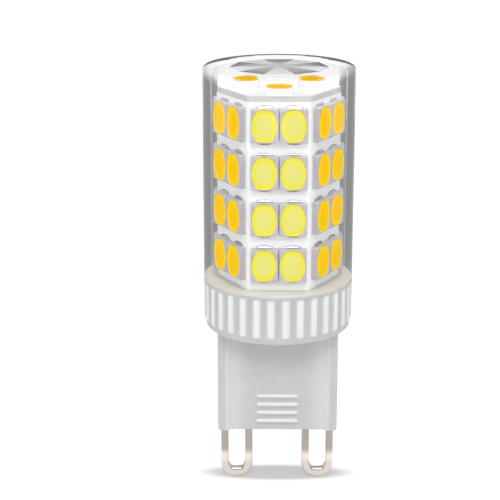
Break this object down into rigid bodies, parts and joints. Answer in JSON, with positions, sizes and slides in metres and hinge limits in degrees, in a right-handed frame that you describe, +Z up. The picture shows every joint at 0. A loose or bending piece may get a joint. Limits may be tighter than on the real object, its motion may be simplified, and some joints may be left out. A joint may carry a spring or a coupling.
{
  "type": "corn led bulb",
  "caption": "Two-pin corn LED bulb: a clear cylindrical cover over a hexagonal tube of LED boards, a fluted collar and a flat base block with looped pins.",
  "frame": {"origin": "middle of the seat face, the flat bottom of the base block, between the two pins", "axes": "+Z up along the bulb's axis from the pins to the cover's top, X through both pins, -Y out of the face with the front row of LEDs"},
  "size_m": [0.016, 0.016, 0.0466],
  "materials": {
    "cover_clear": "clear moulded plastic, polished",
    "base_white": "moulded, fine satin",
    "pin_nickel": "plated, satin",
    "board_white": "white solder mask",
    "led_body": "moulded",
    "phosphor": "silicone, slightly glossy",
    "solder": "bright solder",
    "driver_laminate": "solder mask",
    "component_black": "moulded",
    "film_brown": "dipped",
    "resistor_body": "lacquered",
    "can_metal": "drawn",
    "seal_rubber": "matt",
    "tinned_wire": "tinned"
  },
  "bodies": {
    "root": {"base_housing": "base_white", "board_leads": "tinned_wire", "bridge_rectifier": "component_black", "capacitor_can": "can_metal", "capacitor_leads": "tinned_wire", "capacitor_seal": "seal_rubber", "chip_resistors": "component_black", "clear_cover": "cover_clear", "driver_board": "driver_laminate", "driver_chip": "component_black", "film_capacitor": "film_brown", "fuse_resistor": "resistor_body", "led_housings_1": "led_body", "led_housings_2": "led_body", "led_housings_3": "led_body", "led_housings_4": "led_body", "led_housings_5": "led_body", "led_housings_6": "led_body", "phosphors_1": "phosphor", "phosphors_2": "phosphor", "phosphors_3": "phosphor", "phosphors_4": "phosphor", "phosphors_5": "phosphor", "phosphors_6": "phosphor", "pin_left": "pin_nickel", "pin_right": "pin_nickel", "side_board_1": "board_white", "side_board_2": "board_white", "side_board_3": "board_white", "side_board_4": "board_white", "side_board_5": "board_white", "side_board_6": "board_white", "solder_fillets_1": "solder", "solder_fillets_2": "solder", "solder_fillets_3": "solder", "solder_fillets_4": "solder", "solder_fillets_5": "solder", "solder_fillets_6": "solder", "top_board": "board_white", "top_led_housings": "led_body", "top_phosphors": "phosphor", "top_solder_fillets": "solder"}
  },
  "joints": []
}
